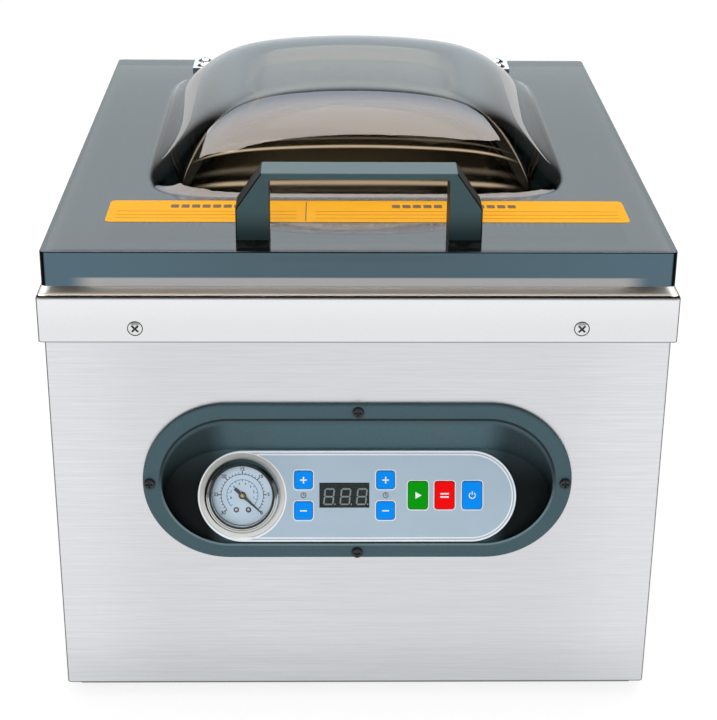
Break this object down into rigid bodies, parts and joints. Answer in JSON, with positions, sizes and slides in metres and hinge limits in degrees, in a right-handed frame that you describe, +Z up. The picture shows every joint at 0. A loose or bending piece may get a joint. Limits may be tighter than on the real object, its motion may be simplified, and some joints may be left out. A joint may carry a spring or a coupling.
{
  "type": "vacuum sealer",
  "caption": "Table-top chamber vacuum sealer: brushed steel casing, thick tinted lid with a blown dome and bridge handle, recessed sloping control panel with gauge, keys and display.",
  "frame": {"origin": "on the table under the middle of the machine's outline", "axes": "+Z up, -Y out of the front panel, +X to the right as seen from the front"},
  "size_m": [0.3326, 0.4002, 0.3124],
  "materials": {
    "casing_steel": "horizontally brushed stainless sheet",
    "deck_steel": "finely brushed bright stainless sheet with rolled edges",
    "tub_steel": "drawn stainless, satin",
    "hinge_steel": "polished stainless",
    "screw_steel": "bright plated",
    "screw_black": "blackened steel",
    "lid_acrylic": "thick smoke-tinted clear acrylic, polished",
    "handle_plastic": "fine-textured slate moulding",
    "bezel_plastic": "fine-textured dark slate moulding",
    "gasket_silicone": "soft pale silicone",
    "pad_silicone": "red-brown silicone",
    "foot_rubber": "black rubber",
    "bar_aluminium": "extruded aluminium",
    "element_wire": "flat resistance wire",
    "tape_brown": "coated glass-cloth tape",
    "plate_print": "silver blue-grey printed plate with white trim lines",
    "key_blue": "blue with a white border",
    "key_green": "green with a white border",
    "key_red": "red with a white border",
    "display_dark": "dark slate with pale unlit segments",
    "window_tint": "tinted clear pane",
    "gauge_chrome": "plated ring",
    "gauge_black": "black enamel",
    "dial_white": "white dial with scale numbers",
    "gauge_clear": "clear glass",
    "board_green": "soldered circuit board",
    "switch_black": "moulded switch bodies",
    "spacer_brass": "turned brass",
    "cylinder_alloy": "turned alloy",
    "motor_paint": "dark enamel",
    "pump_alloy": "cast alloy with fins",
    "fan_plastic": "moulded fan on a steel shaft",
    "valve_brass": "brass bodies with wound coils",
    "hose_rubber": "reinforced black hose",
    "core_iron": "stacked laminations",
    "coil_wrap": "enamelled winding under tape"
  },
  "bodies": {
    "base": {"base_plate": "casing_steel", "base_screws": "screw_steel", "bezel_screws": "screw_black", "board_spacers": "spacer_brass", "casing_wrap": "casing_steel", "chamber_tub": "tub_steel", "control_board": "board_green", "control_plate": "plate_print", "deck_screws": "screw_steel", "display_module": "display_dark", "display_window": "window_tint", "foot_screws": "screw_steel", "gauge_bezel": "gauge_chrome", "gauge_case": "gauge_black", "gauge_dial": "dial_white", "gauge_glass": "gauge_clear", "gauge_hose": "hose_rubber", "hinge_base_leaf_left": "hinge_steel", "hinge_base_leaf_right": "hinge_steel", "hinge_base_screws": "screw_steel", "hinge_pins": "hinge_steel", "key_switches": "switch_black", "lid_gasket": "gasket_silicone", "lift_cylinders": "cylinder_alloy", "panel_bezel": "bezel_plastic", "power_inlet": "switch_black", "pump_head": "pump_alloy", "pump_motor": "motor_paint", "pump_mounts": "foot_rubber", "rear_panel": "casing_steel", "rear_screws": "screw_steel", "rubber_feet": "foot_rubber", "solenoid_valves": "valve_brass", "suction_hose": "hose_rubber", "top_deck": "deck_steel", "transformer_coil": "coil_wrap", "transformer_core": "core_iron"},
    "lid": {"lid_shell": "lid_acrylic", "lid_handle": "handle_plastic", "handle_screws": "screw_steel", "pad_channel": "bar_aluminium", "seal_pad": "pad_silicone", "hinge_lid_leaf_left": "hinge_steel", "hinge_lid_leaf_right": "hinge_steel", "hinge_lid_screws": "screw_steel", "hinge_lid_nuts": "screw_steel"},
    "seal_bar": {"seal_bar": "bar_aluminium", "heating_element": "element_wire", "seal_tape": "tape_brown", "bar_posts": "bar_aluminium"},
    "gauge_needle": {"gauge_needle": "gauge_black"},
    "motor_rotor": {"motor_rotor": "fan_plastic"},
    "vac_time_plus_key": {"vac_time_plus_key": "key_blue"},
    "vac_time_minus_key": {"vac_time_minus_key": "key_blue"},
    "seal_time_plus_key": {"seal_time_plus_key": "key_blue"},
    "seal_time_minus_key": {"seal_time_minus_key": "key_blue"},
    "start_key": {"start_key": "key_green"},
    "seal_key": {"seal_key": "key_red"},
    "power_key": {"power_key": "key_blue"}
  },
  "joints": [
    {"name": "lid_hinge", "type": "hinge", "parent": "base", "child": "lid", "pos_m": [0, 0.1928, 0.252], "axis": [-1, 0, 0], "range_deg": [0, 65]},
    {"name": "seal_bar_lift", "type": "slide", "parent": "base", "child": "seal_bar", "axis": [0, 0, 1], "range_m": [0, 0.006]},
    {"name": "gauge_needle_turn", "type": "hinge", "parent": "base", "child": "gauge_needle", "pos_m": [-0.0624, -0.18638, 0.12462], "axis": [0, -0.9397, 0.342], "range_deg": [0, 266]},
    {"name": "motor_spin", "type": "hinge", "parent": "base", "child": "motor_rotor", "pos_m": [-0.09, 0.033, 0.0775], "axis": [1, 0, 0], "continuous": true},
    {"name": "vac_time_plus_press", "type": "slide", "parent": "base", "child": "vac_time_plus_key", "axis": [0, 0.9397, -0.342], "range_m": [0, 0.0006], "stiffness_N_per_m": 400},
    {"name": "vac_time_minus_press", "type": "slide", "parent": "base", "child": "vac_time_minus_key", "axis": [0, 0.9397, -0.342], "range_m": [0, 0.0006], "stiffness_N_per_m": 400},
    {"name": "seal_time_plus_press", "type": "slide", "parent": "base", "child": "seal_time_plus_key", "axis": [0, 0.9397, -0.342], "range_m": [0, 0.0006], "stiffness_N_per_m": 400},
    {"name": "seal_time_minus_press", "type": "slide", "parent": "base", "child": "seal_time_minus_key", "axis": [0, 0.9397, -0.342], "range_m": [0, 0.0006], "stiffness_N_per_m": 400},
    {"name": "start_press", "type": "slide", "parent": "base", "child": "start_key", "axis": [0, 0.9397, -0.342], "range_m": [0, 0.0006], "stiffness_N_per_m": 400},
    {"name": "seal_press", "type": "slide", "parent": "base", "child": "seal_key", "axis": [0, 0.9397, -0.342], "range_m": [0, 0.0006], "stiffness_N_per_m": 400},
    {"name": "power_press", "type": "slide", "parent": "base", "child": "power_key", "axis": [0, 0.9397, -0.342], "range_m": [0, 0.0006], "stiffness_N_per_m": 400}
  ]
}
